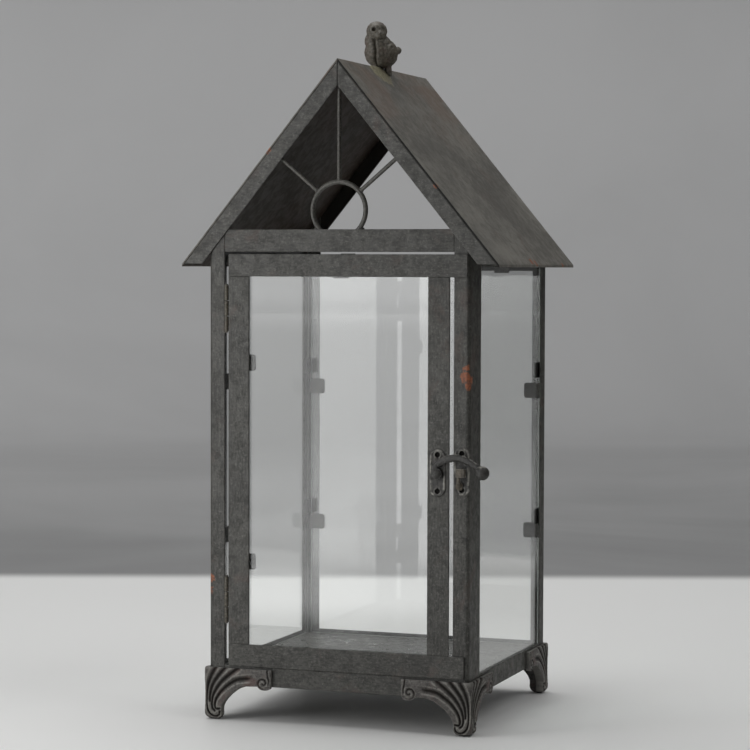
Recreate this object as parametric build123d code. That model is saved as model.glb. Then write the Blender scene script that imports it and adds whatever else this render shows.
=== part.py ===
"""House-shaped glazed metal lantern with a hinged front door. Millimetres, +Z up, front towards -Y.

The origin is on the surface that the feet stand on, at the middle of the whole object's plan box.
"""
from build123d import *
import math
import os

# Body
WIDTH = 185.0            # over the corner posts, left to right
FRONT = -87.0            # outer face of the front posts; the latch stands out in front of it
BACK = 93.0              # outer face of the back posts
SHEET = 1.2              # folded strip and sheet thickness
POST_FACE_LEG = 11.2     # post leg seen from the front or the back
FRONT_SIDE_LEG = 24.0    # front post leg seen from the side
BACK_SIDE_LEG = 12.0     # back post leg seen from the side
POST_BEND = 2.5          # outside radius of the fold
STRIP = 15.0             # height of the lintel and top rails, width of the door strips

# Heights
BASE_LOW = 24.0
BASE_TOP = 37.2
TRAY_TOP = 34.5
TRAY_RIM = 7.0
LINTEL_LOW = 317.5
BACK_RAIL_LOW = 305.0
BACK_RAIL_HIGH = 316.2
SIDE_RAIL_LOW = 312.0

# Roof
RIDGE_Z = 445.4
EAVE_Z = 309.3
EAVE_X = 112.4
ROOF_OVERHANG = 1.5      # roof edge in front of the posts, just past the rake strips
RAKE_WIDTH = 10.2
SEAM = 0.1               # half of the open seam between the two rake strips of a gable

# Gable ring and spokes
RING_Z = 345.2
RING_OUTER = 20.4
RING_WIRE = 3.2
SPOKE_WIRE = 2.8
SPOKE_ANGLE = 40.0
ROOF_CLEAR = 0.3         # wires and posts stop short of the roof's underside

# Bird
BIRD_TOP = 477.8
BIRD_BODY_R = 10.0
BIRD_HEAD_R = 7.2
BIRD_TAIL_R = 2.6
BIRD_STEM = 2.2          # half of the stem's width

# Door
DOOR_LEFT = -77.8
DOOR_RIGHT = 79.0
DOOR_LOW = 37.4
DOOR_TOP = 316.0
DOOR_SHEET = 1.5
DOOR_GAP = 0.3           # between the posts' front faces and the back of the door
TOP_RAIL_END = 91.0      # the rails run on over the right post and stop the door
BOTTOM_RAIL_END = 89.5

# Glass and the tabs that hold it
GLASS = 2.0
GLASS_SEAT = 0.6         # pane to post face
PANE_SETBACK = 5.0       # side pane's edge behind the posts' outer faces
BACK_PANE_SETBACK = 5.5  # back pane's edge inside the posts' outer faces
DOOR_PANE_LAP = 7.8      # door pane behind its strips
PANE_LAP = 9.0           # side and back panes behind their top rails
DOOR_SEAT = 0.2          # pane to the back of the door's strips
TAB_SHEET = 0.8
TAB_HEIGHT = 11.0
TAB_FOOT = 2.4           # length of a tab's foot on the metal
FRONT_TAB_REACH = 25.0   # side pane covered by a tab at a front post
BACK_TAB_REACH = 13.0    # side pane covered by a tab at a back post
SIDE_TAB_Z = (129.0, 234.0)        # side panes, at the back posts
FRONT_TAB_Z = (124.0, 229.0)       # side panes, at the front posts
BACK_TAB_Z = (118.0, 219.0)
DOOR_TAB_Z = (108.5, 243.0)
CLEAR = 0.1              # glass to tab

# Hinges
HINGE_X = -79.55
HINGE_Y = -87.9
HINGE_Z = (66.8, 264.0)  # lower end of each hinge
HINGE_LENGTH = 31.0
BARREL_R = 1.4
PIN_R = 0.6
PIN_HOLE_R = 0.65
LEAF = 0.8
PIN_HEAD_R = 1.1
KNUCKLE_GAP = 0.3

# Latch
PIVOT_X = 71.2
PIVOT_Z = 172.5
PLATE_WIDTH = 11.2
PLATE_HEIGHT = 32.0
PLATE_SHEET = 1.0
PLATE_HOLE_R = 1.2
PLATE_HOLE_OFFSET = 12.0
RIVET_R = 1.5
EYE_HOLE_R = 1.56
EYE_R = 3.7
ARM_THICK = 2.4
ARM_GAP = 0.4            # plate to arm, and arm to rivet head
ARM_TOP = ((68.6, 175.2), (83.8, 185.0), (102.4, 177.2))
ARM_UNDER = ((73.2, 171.6), (84.6, 180.6), (100.6, 173.6))
DOME_R = 3.6
KNOB_R = 4.7
KNOB = (103.3, -94.0, 174.2)
CATCH_X = 87.4
CATCH_Z = 174.0
STUD_HEAD = 5.6
STUD_LOW = 170.8
STUD_Y = (-95.4, -90.4)
STEM_Z = 165.6
STEM_R = 1.3

# Feet
FOOT_STAND = 3.0         # how far a foot stands out of the posts
FOOT_TOP = 35.6
FOOT_WING = 49.0
FOOT_TOE = 12.7
FOOT_WALL = 6.0          # wall below the posts
FOOT_CORNER = 2.5
FOOT_HEEL = ((4.2, 0), (1.2, 1.3), (0, 4.5))

SLOPE = (RIDGE_Z - EAVE_Z) / EAVE_X
ROOF_DROP = SHEET / math.cos(math.atan(SLOPE))      # sheet thickness measured straight down
RAKE_DROP = RAKE_WIDTH / math.cos(math.atan(SLOPE))
MID_Y = (FRONT + BACK) / 2
SIDES = (("left", -1), ("right", 1))
DOOR_BACK = FRONT - DOOR_GAP
DOOR_FRONT = DOOR_BACK - DOOR_SHEET


def block(x0, x1, y0, y1, z0, z1):
    """A box between two corners, given in any order."""
    size = (abs(x1 - x0), abs(y1 - y0), abs(z1 - z0))
    return Pos((x0 + x1) / 2, (y0 + y1) / 2, (z0 + z1) / 2) * Box(*size)


def plate_xz(edges, y0, y1):
    """A flat outline drawn in the XZ plane, made solid from y0 to y1."""
    face = make_face(edges)
    return Pos(0, y0, 0) * extrude(face, amount=y1 - y0, dir=(0, 1, 0))


def outline_xz(points):
    return Polyline(*[(x, 0, z) for x, z in points], close=True)


def rod(start, end, radius):
    """A round bar from one point to another."""
    line = Vector(*end) - Vector(*start)
    plane = Plane(origin=start, z_dir=line.normalized())
    return extrude(plane * Circle(radius), amount=line.length)


def roof_line(x, drop=0.0):
    """Height of the roof's outer surface above x, less a drop."""
    return RIDGE_Z - drop - SLOPE * abs(x)


def under_roof(drop):
    """Everything under the roof, down to the ground."""
    x = WIDTH
    edge = roof_line(x, drop)
    points = [(-x, edge), (0, RIDGE_Z - drop), (x, edge), (x, 0), (-x, 0)]
    return plate_xz(outline_xz(points), FRONT - 50, BACK + 50)


def corner_post(side, face, inward, leg):
    """L-section post: side is -1 or 1 in X, face is its outer Y face, inward is +1 or -1 in Y.

    leg is the width of its leg along the side.
    """
    x = side * WIDTH / 2
    top = RIDGE_Z
    face_leg = block(x, x - side * POST_FACE_LEG, face, face + inward * SHEET, BASE_LOW, top)
    side_leg = block(x, x - side * SHEET, face, face + inward * leg, BASE_LOW, top)
    post = face_leg + side_leg
    outer = (x, face)
    inner = (x - side * SHEET, face + inward * SHEET)
    for corner, radius in ((outer, POST_BEND), (inner, POST_BEND - SHEET)):
        edge = post.edges().filter_by(Axis.Z).sort_by_distance((*corner, top / 2))[0]
        post = fillet(edge, radius)
    return post & under_roof(ROOF_DROP + ROOF_CLEAR)


def roof_panel(side):
    x = side * EAVE_X
    points = [(0, RIDGE_Z), (x, EAVE_Z), (x, EAVE_Z - ROOF_DROP), (0, RIDGE_Z - ROOF_DROP)]
    return plate_xz(outline_xz(points), FRONT - ROOF_OVERHANG, BACK + ROOF_OVERHANG)


def rake(side, y0, y1):
    """Strip along one gable edge, cut level at the eave and upright at the ridge."""
    low = EAVE_Z + 0.2
    drop = ROOF_DROP
    inner = drop + RAKE_DROP
    at_low = (RIDGE_Z - drop - low) / SLOPE
    inner_low = (RIDGE_Z - inner - low) / SLOPE
    points = [(SEAM, roof_line(SEAM, drop)), (at_low, low), (inner_low, low), (SEAM, roof_line(SEAM, inner))]
    return plate_xz(outline_xz([(side * x, z) for x, z in points]), y0, y1)


def tray():
    x = WIDTH / 2 - SHEET - 0.3
    y0, y1 = FRONT + SHEET + 0.3, BACK - SHEET - 0.3
    tray = block(-x, x, y0, y1, TRAY_TOP - TRAY_RIM, TRAY_TOP)
    tray = fillet(tray.edges().filter_by(Axis.Z), 2.5)
    inside = block(-x + 1, x - 1, y0 + 1, y1 - 1, 0, TRAY_TOP - 1)
    return tray - inside


def foot_outline():
    """Side view of a foot's wing: u runs inwards from the outer corner, and v is height."""
    wing = FOOT_WING
    toe_top = (FOOT_TOE, 8.6)
    lines = Polyline(FOOT_HEEL[2], (0, FOOT_TOP), (wing, FOOT_TOP), (wing, 24.4))
    scroll = ThreePointArc((wing, 24.4), (wing - 4.8, 21.8), (wing - 9.5, 24.2))
    under = Line((wing - 9.5, 24.2), (wing - 18, 23.8))
    arch = Spline((wing - 18, 23.8), (22.5, 19.9), (16.2, 14.3), toe_top, tangents=[(-1, -0.12), (-0.3, -1)])
    toe = ThreePointArc(toe_top, (FOOT_TOE - 0.1, 3.4), (9.0, 0))
    sole = Line((9.0, 0), FOOT_HEEL[0])
    return make_face(Curve() + [lines, scroll, under, arch, toe, sole, ThreePointArc(*FOOT_HEEL)])


def heel_outline():
    """Side view of everything inside a foot's outer edge."""
    reach = FOOT_WING + 5
    lines = Polyline(FOOT_HEEL[2], (0, FOOT_TOP), (reach, FOOT_TOP), (reach, 0), FOOT_HEEL[0])
    return make_face(Curve() + [lines, ThreePointArc(*FOOT_HEEL)])


def foot(side, face, inward):
    """Cast corner foot, hollow behind: two wings meet at the corner and run down to one toe."""
    x, y = side * (WIDTH / 2 + FOOT_STAND), face - inward * FOOT_STAND
    across = Plane(origin=(x, y, 0), x_dir=(-side, 0, 0), z_dir=(0, side, 0))
    along = Plane(origin=(x, y, 0), x_dir=(0, inward, 0), z_dir=(inward, 0, 0))
    views = ((across, (0, inward, 0)), (along, (-side, 0, 0)))
    reach = FOOT_WING + 5
    corner = block(x, x - side * reach, y, y + inward * reach, -1, FOOT_TOP + 1)
    edge = corner.edges().filter_by(Axis.Z).sort_by_distance((x, y, 0))[0]
    envelope = fillet(edge, FOOT_CORNER)
    below_posts = block(-WIDTH, WIDTH, -WIDTH, WIDTH, -1, BASE_LOW - 0.3)
    wings = []
    for plane, inwards in views:
        envelope &= extrude(plane * heel_outline(), amount=reach, dir=inwards)
        wings.append(extrude(plane * foot_outline(), amount=FOOT_STAND, dir=inwards))
        wings.append(extrude(plane * foot_outline(), amount=FOOT_WALL, dir=inwards) & below_posts)
    return (wings[0] + wings[1] + wings[2] + wings[3]) & envelope


def side_pane(side):
    outer = side * (WIDTH / 2 - SHEET - GLASS_SEAT)
    y0, y1 = FRONT + PANE_SETBACK, BACK - PANE_SETBACK
    return block(outer, outer - side * GLASS, y0, y1, TRAY_TOP + CLEAR, SIDE_RAIL_LOW + PANE_LAP)


def back_pane():
    outer = BACK - SHEET - GLASS_SEAT
    edge = WIDTH / 2 - BACK_PANE_SETBACK
    return block(-edge, edge, outer - GLASS, outer, TRAY_TOP + CLEAR, BACK_RAIL_LOW + PANE_LAP)


def z_tab(step, foot_end, reach):
    """Folded tab in plan: a foot flat on the metal, a step past the pane's edge, and a tongue over the pane.

    The pane's edge is at u = 0 and the metal's face at v = 0; the tab is TAB_HEIGHT tall in Z.
    """
    t = TAB_SHEET
    riser = block(-CLEAR - t, -CLEAR, 0, step, 0, TAB_HEIGHT)
    base = block(-CLEAR - t, foot_end, 0, t, 0, TAB_HEIGHT)
    tongue = block(-CLEAR - t, reach, step - t, step, 0, TAB_HEIGHT)
    tongue = fillet(tongue.edges().filter_by(Axis.Y).group_by(Axis.X)[-1], 2.0)
    return riser + base + tongue


def place_tab(tab, origin, u_dir, v_dir):
    """Put a tab with its u and v directions along the given row directions."""
    z_dir = Vector(*u_dir).cross(Vector(*v_dir))
    if z_dir.Z > 0:
        return Plane(origin=origin, x_dir=u_dir, z_dir=z_dir) * tab
    lifted = (origin[0], origin[1], origin[2] + TAB_HEIGHT)
    return Plane(origin=lifted, x_dir=u_dir, z_dir=z_dir) * tab


def side_tabs(side):
    step = GLASS_SEAT + GLASS + CLEAR + TAB_SHEET
    x = side * (WIDTH / 2 - SHEET)
    ends = (
        (FRONT + PANE_SETBACK, 1, FRONT_TAB_REACH, FRONT_TAB_Z),
        (BACK - PANE_SETBACK, -1, BACK_TAB_REACH, SIDE_TAB_Z),
    )
    tabs = []
    for y, inward, reach, heights in ends:
        tab = z_tab(step, -TAB_FOOT, reach)
        for z in heights:
            tabs.append(place_tab(tab, (x, y, z - TAB_HEIGHT / 2), (0, inward, 0), (-side, 0, 0)))
    return tabs


def back_tabs():
    step = GLASS_SEAT + GLASS + CLEAR + TAB_SHEET
    y = BACK - SHEET
    edge = WIDTH / 2 - BACK_PANE_SETBACK
    upright = z_tab(step, -TAB_FOOT, POST_FACE_LEG - BACK_PANE_SETBACK + 5)
    tabs = []
    for z in BACK_TAB_Z:
        for side in (-1, 1):
            origin = (side * edge, y, z - TAB_HEIGHT / 2)
            tabs.append(place_tab(upright, origin, (-side, 0, 0), (0, -1, 0)))
    for x in (-59.0, 59.0):
        tabs.append(top_tab(x, y, -1, BACK_RAIL_LOW + PANE_LAP, PANE_LAP + 1.5, step))
    return tabs


def top_tab(x, y, inward, edge_z, reach, step):
    """The same folded tab, turned to hang over a pane's top edge (reach above 0) or bottom edge."""
    t = TAB_SHEET
    sign = 1 if reach > 0 else -1
    x0, x1 = x - TAB_HEIGHT / 2, x + TAB_HEIGHT / 2
    low, high = edge_z + sign * CLEAR, edge_z + sign * (CLEAR + t)
    riser = block(x0, x1, y, y + inward * step, low, high)
    base = block(x0, x1, y, y + inward * t, low, edge_z + sign * 3.4)
    tongue = block(x0, x1, y + inward * (step - t), y + inward * step, high, edge_z - reach)
    return riser + base + tongue


def door_pane_edges():
    lap = STRIP - DOOR_PANE_LAP
    return DOOR_LEFT + lap, DOOR_RIGHT - lap, DOOR_LOW + lap, DOOR_TOP - lap


def door_tabs():
    left, right, low, high = door_pane_edges()
    step = DOOR_SEAT + GLASS + CLEAR + TAB_SHEET
    hinge_side = z_tab(step, -5.6, DOOR_PANE_LAP + 3.6)
    latch_side = z_tab(step, -5.6, DOOR_PANE_LAP - 1.0)
    tabs = []
    for z in DOOR_TAB_Z:
        bottom = z - TAB_HEIGHT / 2
        tabs.append(place_tab(hinge_side, (left, DOOR_BACK, bottom), (1, 0, 0), (0, 1, 0)))
        tabs.append(place_tab(latch_side, (right, DOOR_BACK, bottom), (-1, 0, 0), (0, 1, 0)))
    tabs.append(top_tab(2.0, DOOR_BACK, 1, high, 8.8, step))
    tabs.append(top_tab(2.0, DOOR_BACK, 1, low, -6.0, step))
    return tabs


def knuckles(low):
    """Height ranges of a hinge's three knuckles: post, door, post."""
    tall = (HINGE_LENGTH - 2 * KNUCKLE_GAP) / 3
    return [(low + i * (tall + KNUCKLE_GAP), low + i * (tall + KNUCKLE_GAP) + tall) for i in range(3)]


def barrel(z0, z1):
    ring = Circle(BARREL_R) - Circle(PIN_HOLE_R)
    return Pos(HINGE_X, HINGE_Y, z0) * extrude(ring, amount=z1 - z0)


def bore(low):
    return Pos(HINGE_X, HINGE_Y, low) * extrude(Circle(PIN_HOLE_R), amount=HINGE_LENGTH)


def post_leaf(low):
    """Leaf behind the left post's face leg, with the top and bottom knuckles."""
    back = FRONT + SHEET
    leaf = block(HINGE_X - 10.2, HINGE_X - 1.7, back, back + LEAF, low, low + HINGE_LENGTH)
    for z0, z1 in (knuckles(low)[0], knuckles(low)[2]):
        web = block(HINGE_X - 1.5, HINGE_X - 0.2, HINGE_Y, back + LEAF, z0, z1)
        leaf += web + block(HINGE_X - 2.0, HINGE_X - 0.2, back, back + LEAF, z0, z1) + barrel(z0, z1)
    return leaf - bore(low)


def door_leaf(low):
    """Leaf behind the door's left stile, with the middle knuckle."""
    leaf = block(HINGE_X + 2.0, DOOR_LEFT + 6.6, DOOR_BACK, DOOR_BACK + LEAF, low, low + HINGE_LENGTH)
    z0, z1 = knuckles(low)[1]
    leaf += block(HINGE_X + 0.4, HINGE_X + 2.2, DOOR_BACK, DOOR_BACK + LEAF, z0, z1) + barrel(z0, z1)
    return leaf - bore(low)


def hinge_pin(low):
    """Plain pin with a small burred head at each end."""
    pin = Pos(HINGE_X, HINGE_Y, low - 0.6) * extrude(Circle(PIN_R), amount=HINGE_LENGTH + 1.2)
    for z in (low - 0.9, low + HINGE_LENGTH + 0.1):
        pin += Pos(HINGE_X, HINGE_Y, z) * extrude(Circle(PIN_HEAD_R), amount=0.8)
    return pin


def round_ended(x, y, z, inset):
    """Upright round-ended outline facing the front, drawn inside the latch plates' edge."""
    facing = Plane(origin=(x, y, z), x_dir=(1, 0, 0), z_dir=(0, -1, 0))
    return facing * SlotOverall(PLATE_HEIGHT - 2 * inset, PLATE_WIDTH - 2 * inset, rotation=90)


def oval_plate(x, z, y):
    """Plate standing out of the face at y towards the front, with two open screw holes."""
    plate = extrude(round_ended(x, y, z, 0), amount=PLATE_SHEET)
    rim = plate.edges().group_by(Axis.Y)[0]
    plate = chamfer(rim, 0.35)
    for offset in (-PLATE_HOLE_OFFSET, PLATE_HOLE_OFFSET):
        plate -= rod((x, y + 1, z + offset), (x, y - PLATE_SHEET - 1, z + offset), PLATE_HOLE_R)
    return plate


def catch_plate():
    """Plate on the right post, with a raised rim."""
    face = FRONT - PLATE_SHEET
    rim = round_ended(CATCH_X, face, CATCH_Z, 0.7) - round_ended(CATCH_X, face, CATCH_Z, 1.7)
    return oval_plate(CATCH_X, CATCH_Z, FRONT) + extrude(rim, amount=0.6)


def catch_stud():
    """Square head held out in front of the plate by a bent stem."""
    face = FRONT - PLATE_SHEET
    left = CATCH_X - 2
    head = block(left, left + STUD_HEAD, *STUD_Y, STUD_LOW, STUD_LOW + STUD_HEAD)
    head = fillet(head.edges(), 0.7)
    foot_x, top_x = CATCH_X - 0.4, CATCH_X + 0.6
    path = FilletPolyline(
        (foot_x, face, STEM_Z), (foot_x, -92.0, STEM_Z), (top_x, -92.8, STUD_LOW + 1.5), radius=2.0
    )
    start = Plane(origin=(foot_x, face, STEM_Z), z_dir=(0, -1, 0))
    return head + sweep(start * Circle(STEM_R), path=path)


def latch_pivot():
    """Rivet with a domed head, standing out of the door's latch plate."""
    face = DOOR_FRONT - PLATE_SHEET
    tip = face - ARM_GAP - ARM_THICK - ARM_GAP
    shaft = rod((PIVOT_X, face, PIVOT_Z), (PIVOT_X, tip - 0.5, PIVOT_Z), RIVET_R)
    dome = Pos(PIVOT_X, tip + 1.6, PIVOT_Z) * Sphere(DOME_R)
    dome &= block(PIVOT_X - DOME_R, PIVOT_X + DOME_R, tip, tip - DOME_R, PIVOT_Z - DOME_R, PIVOT_Z + DOME_R)
    return shaft + dome


def hook_arm():
    """Arched arm from the pivot eye to the ball end, in one casting."""
    y1 = DOOR_FRONT - PLATE_SHEET - ARM_GAP
    y0 = y1 - ARM_THICK
    top = [(x, 0, z) for x, z in ARM_TOP]
    under = [(x, 0, z) for x, z in ARM_UNDER]
    ends = [Line(top[0], under[0]), Line(top[2], under[2])]
    arm = plate_xz(Curve() + [ThreePointArc(*top), ThreePointArc(*under), *ends], y0, y1)
    eye = rod((PIVOT_X, y0, PIVOT_Z), (PIVOT_X, y1, PIVOT_Z), EYE_R)
    arm = arm + eye + Pos(*KNOB) * Sphere(KNOB_R)
    return arm - rod((PIVOT_X, y0 - 3, PIVOT_Z), (PIVOT_X, y1 + 3, PIVOT_Z), EYE_HOLE_R)


def gable_ring(y):
    ring = Torus(RING_OUTER - RING_WIRE / 2, RING_WIRE / 2)
    return Pos(0, y, RING_Z) * Rot(90, 0, 0) * ring


def gable_spokes(y):
    """Three wires from the ring to the backs of the rake strips."""
    start = RING_OUTER + 0.05
    spokes = []
    for angle in (SPOKE_ANGLE, 90.0, 180.0 - SPOKE_ANGLE):
        dx, dz = math.cos(math.radians(angle)), math.sin(math.radians(angle))
        a = (dx * start, y, RING_Z + dz * start)
        b = (dx * RIDGE_Z / 2, y, RING_Z + dz * RIDGE_Z / 2)
        spokes.append(rod(a, b, SPOKE_WIRE / 2) & under_roof(ROOF_DROP + ROOF_CLEAR))
    return spokes


def bird(y):
    """Small plump bird facing the front, tail up, on a short stem that sits over the ridge."""
    body = Pos(0.6, y + 2.0, 457.6) * Rot(-12, 0, 0) * scale(Sphere(BIRD_BODY_R), by=(1.0, 1.25, 1.0))
    head = Pos(-1.8, y - 3.6, BIRD_TOP - BIRD_HEAD_R) * Sphere(BIRD_HEAD_R)
    neck = Pos(-0.8, y - 2.2, 464.6) * Sphere(BIRD_HEAD_R + 0.5)
    beak = Plane(origin=(-2.2, y - 9.4, 469.6), z_dir=(-0.15, -1, -0.12)) * Cone(2.0, 0.4, 4.4)
    tail_end = (7.6, y + 21.0, 461.0)
    tail = rod((3.0, y + 9.0, 458.0), tail_end, BIRD_TAIL_R) + Pos(*tail_end) * Sphere(BIRD_TAIL_R)
    stem = block(-BIRD_STEM, BIRD_STEM, y - 6, y + 7, RIDGE_Z - 5, RIDGE_Z + 7)
    saddle = under_roof(0) & block(-20, 20, y - 20, y + 20, RIDGE_Z - 30, RIDGE_Z)
    return (body + head + neck + beak + tail + stem) - saddle


def make_parts():
    half = WIDTH / 2
    corners = {
        "front_left": (-1, FRONT, 1, FRONT_SIDE_LEG),
        "front_right": (1, FRONT, 1, FRONT_SIDE_LEG),
        "back_left": (-1, BACK, -1, BACK_SIDE_LEG),
        "back_right": (1, BACK, -1, BACK_SIDE_LEG),
    }
    parts = {}
    for name, (side, face, inward, leg) in corners.items():
        parts[f"{name}_post"] = corner_post(side, face, inward, leg)
        parts[f"{name}_foot"] = foot(side, face, inward)

    inner = half - POST_FACE_LEG
    y0, y1 = FRONT + FRONT_SIDE_LEG, BACK - BACK_SIDE_LEG
    parts["front_lintel"] = block(-inner, inner, FRONT, FRONT + SHEET, LINTEL_LOW, LINTEL_LOW + STRIP)
    parts["back_top_rail"] = block(-inner, inner, BACK, BACK - SHEET, BACK_RAIL_LOW, BACK_RAIL_HIGH)
    parts["front_base_rail"] = block(-inner, inner, FRONT, FRONT + SHEET, BASE_LOW, BASE_TOP)
    parts["back_base_rail"] = block(-inner, inner, BACK, BACK - SHEET, BASE_LOW, BASE_TOP)
    for name, side in SIDES:
        x = side * half
        parts[f"{name}_top_rail"] = block(x, x - side * SHEET, y0, y1, SIDE_RAIL_LOW, SIDE_RAIL_LOW + STRIP)
        parts[f"{name}_base_rail"] = block(x, x - side * SHEET, y0, y1, BASE_LOW, BASE_TOP)
        parts[f"{name}_roof_panel"] = roof_panel(side)
        parts[f"front_{name}_rake"] = rake(side, FRONT - SHEET, FRONT)
        parts[f"back_{name}_rake"] = rake(side, BACK, BACK + SHEET)
        parts[f"{name}_glass"] = side_pane(side)
        parts[f"{name}_glass_tabs"] = side_tabs(side)
    parts["tray_floor"] = tray()
    parts["back_glass"] = back_pane()
    parts["back_glass_tabs"] = back_tabs()

    wire_y = FRONT + SHEET + RING_WIRE / 2 + 0.05
    parts["gable_ring"] = gable_ring(wire_y)
    parts["gable_spokes"] = gable_spokes(wire_y)
    parts["bird_finial"] = bird(MID_Y - 5)

    for name, low in zip(("lower", "upper"), HINGE_Z):
        parts[f"{name}_hinge_post_leaf"] = post_leaf(low)
        parts[f"{name}_hinge_door_leaf"] = door_leaf(low)
        parts[f"{name}_hinge_pin"] = hinge_pin(low)
    parts["catch_plate"] = catch_plate()
    parts["catch_stud"] = catch_stud()

    low, high = DOOR_LOW + STRIP, DOOR_TOP - STRIP
    parts["door_bottom_rail"] = block(DOOR_LEFT, BOTTOM_RAIL_END, DOOR_FRONT, DOOR_BACK, DOOR_LOW, low)
    parts["door_top_rail"] = block(DOOR_LEFT, TOP_RAIL_END, DOOR_FRONT, DOOR_BACK, high, DOOR_TOP)
    parts["door_left_stile"] = block(DOOR_LEFT, DOOR_LEFT + STRIP, DOOR_FRONT, DOOR_BACK, low, high)
    parts["door_right_stile"] = block(DOOR_RIGHT - STRIP, DOOR_RIGHT, DOOR_FRONT, DOOR_BACK, low, high)
    left, right, bottom, top = door_pane_edges()
    seat = DOOR_BACK + DOOR_SEAT
    parts["door_glass"] = block(left, right, seat, seat + GLASS, bottom, top)
    parts["door_glass_tabs"] = door_tabs()
    parts["latch_plate"] = oval_plate(PIVOT_X, PIVOT_Z + 0.5, DOOR_FRONT)
    parts["latch_pivot"] = latch_pivot()
    parts["hook_arm"] = hook_arm()
    return parts


os.makedirs("parts", exist_ok=True)
for node, shape in make_parts().items():
    if isinstance(shape, list):
        shape = Compound(children=shape)
    export_step(shape, f"parts/{node}.step")
    print(node, "written")
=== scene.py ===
"""Looks for a house-shaped glazed metal lantern with fluted cast feet, a bird finial and a hook latch."""

import math

import bmesh
import bpy
from mathutils import Matrix, Quaternion, Vector, noise


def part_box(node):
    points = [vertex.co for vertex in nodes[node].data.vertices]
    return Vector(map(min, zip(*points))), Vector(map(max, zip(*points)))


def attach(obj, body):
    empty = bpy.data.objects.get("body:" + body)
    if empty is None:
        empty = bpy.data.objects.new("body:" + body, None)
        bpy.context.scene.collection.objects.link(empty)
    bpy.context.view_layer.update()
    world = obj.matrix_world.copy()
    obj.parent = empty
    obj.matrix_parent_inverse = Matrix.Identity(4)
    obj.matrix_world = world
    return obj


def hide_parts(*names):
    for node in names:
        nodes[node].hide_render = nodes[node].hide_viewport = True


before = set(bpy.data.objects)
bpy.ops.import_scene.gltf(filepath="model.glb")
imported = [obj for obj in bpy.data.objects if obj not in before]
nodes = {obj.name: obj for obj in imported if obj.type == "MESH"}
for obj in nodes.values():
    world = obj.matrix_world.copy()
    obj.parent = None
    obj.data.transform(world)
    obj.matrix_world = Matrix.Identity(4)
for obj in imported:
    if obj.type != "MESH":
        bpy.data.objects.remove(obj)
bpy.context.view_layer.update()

MM = 0.001

# Camera, in the frame's metres and degrees
CAMERA_AT = Vector((0.56934, -1.59184, 0.3084))
CAMERA_YAW = -19.83
CAMERA_PITCH = -2.58
CAMERA_ROLL = 0.17
CAMERA_LENS = 116.35

# Colours, linear
PAINT = (0.050, 0.0488, 0.0425)
# Rubbed paint, also used as a painted highlight on cast iron ridges
RUBBED_AND_HIGHLIGHT = (0.175, 0.170, 0.155)
# Painted shade for seams, corners and concave hollows
CREVICE_SHADE = (0.012, 0.011, 0.010)
STAIN = (0.098, 0.060, 0.047)
SMEAR = (0.150, 0.108, 0.084)
RUST = (0.150, 0.058, 0.034)
RUST_BRIGHT = (0.330, 0.105, 0.042)
# Painted shade for roof undersides, sheet front edges and inner faces, and a painted red sheen
UNDERSIDE_SHADE = (0.038, 0.0300, 0.0235)
UNDERSIDE_SHADE_BROWN = (0.042, 0.027, 0.020)
UNDERSIDE_SHEEN_RED = (0.150, 0.084, 0.060)
INNER_FACE_SHADE = (0.016, 0.013, 0.011)
SHEET_END_SHADE = (0.012, 0.012, 0.011)
CAST = (0.084, 0.076, 0.069)
CAST_BROWN = (0.098, 0.052, 0.042)
# Painted highlight and painted shade for cast iron
CAST_HIGHLIGHT = (0.340, 0.330, 0.295)
CAST_HOLLOW_SHADE = (0.010, 0.009, 0.008)
SOLDER = (0.300, 0.280, 0.185)
SOLDER_BROWN = (0.165, 0.120, 0.095)
GLASS = (0.972, 0.981, 0.975)
GLASS_SHADOW = (0.93, 0.95, 0.94)
GLASS_EDGE = (0.90, 0.94, 0.91)
GLASS_EDGE_PALE = (0.98, 0.99, 0.98)
FLOOR = (0.84, 0.84, 0.825)
SURROUND = (0.215, 0.215, 0.215)
WALL = (0.60, 0.60, 0.60)
WALL_PALE = (0.85, 0.85, 0.85)
# Painted shade on the wall at the right
WALL_SHADE = (0.05, 0.05, 0.05)
SKY = (0.95, 0.97, 1.0)

# Paint
EDGE_RADIUS = 0.0008    # how far from a strip's edge the paint is rubbed, metres
GLOSS = 0.40
BUMPS = 0.7

# Stage, in metres
FLOOR_R = 2.6
COVE_R = 1.0
WALL_TOP = 3.2
UNDER_FEET = 0.00005
SQUARE_EDGE = (0.675, 0.735)    # the pale square floor fades out between these half widths
SKY_STRENGTH = 0.15


# ---------------------------------------------------------------- node helpers

def add(tree, kind, inputs=None, **settings):
    """A shader node with its settings, and its inputs set to values or linked to sockets."""
    node = tree.nodes.new("ShaderNode" + kind)
    for key, value in settings.items():
        setattr(node, key, value)
    for key, value in (inputs or {}).items():
        if isinstance(value, bpy.types.NodeSocket):
            tree.links.new(value, node.inputs[key])
        else:
            node.inputs[key].default_value = value
    return node


def math_node(tree, operation, a, b=0.0):
    return add(tree, "Math", {0: a, 1: b}, operation=operation).outputs[0]


def times(tree, a, b):
    return math_node(tree, "MULTIPLY", a, b)


def axis_of(tree, vector, axis):
    return add(tree, "SeparateXYZ", {0: vector}).outputs[axis]


def fade(tree, value, low, high, to_low=0.0, to_high=1.0):
    """value smoothed from low..high to to_low..to_high."""
    inputs = {"Value": value, "From Min": low, "From Max": high, "To Min": to_low, "To Max": to_high}
    return add(tree, "MapRange", inputs, interpolation_type="SMOOTHSTEP").outputs["Result"]


def mix(tree, factor, a, b):
    """Colour b over colour a by factor."""
    a = (*a, 1.0) if isinstance(a, tuple) else a
    b = (*b, 1.0) if isinstance(b, tuple) else b
    return add(tree, "Mix", {0: factor, 6: a, 7: b}, data_type="RGBA").outputs[2]


def toned(colour, factor):
    """The colour made darker or lighter."""
    return tuple(factor * c for c in colour)


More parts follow.
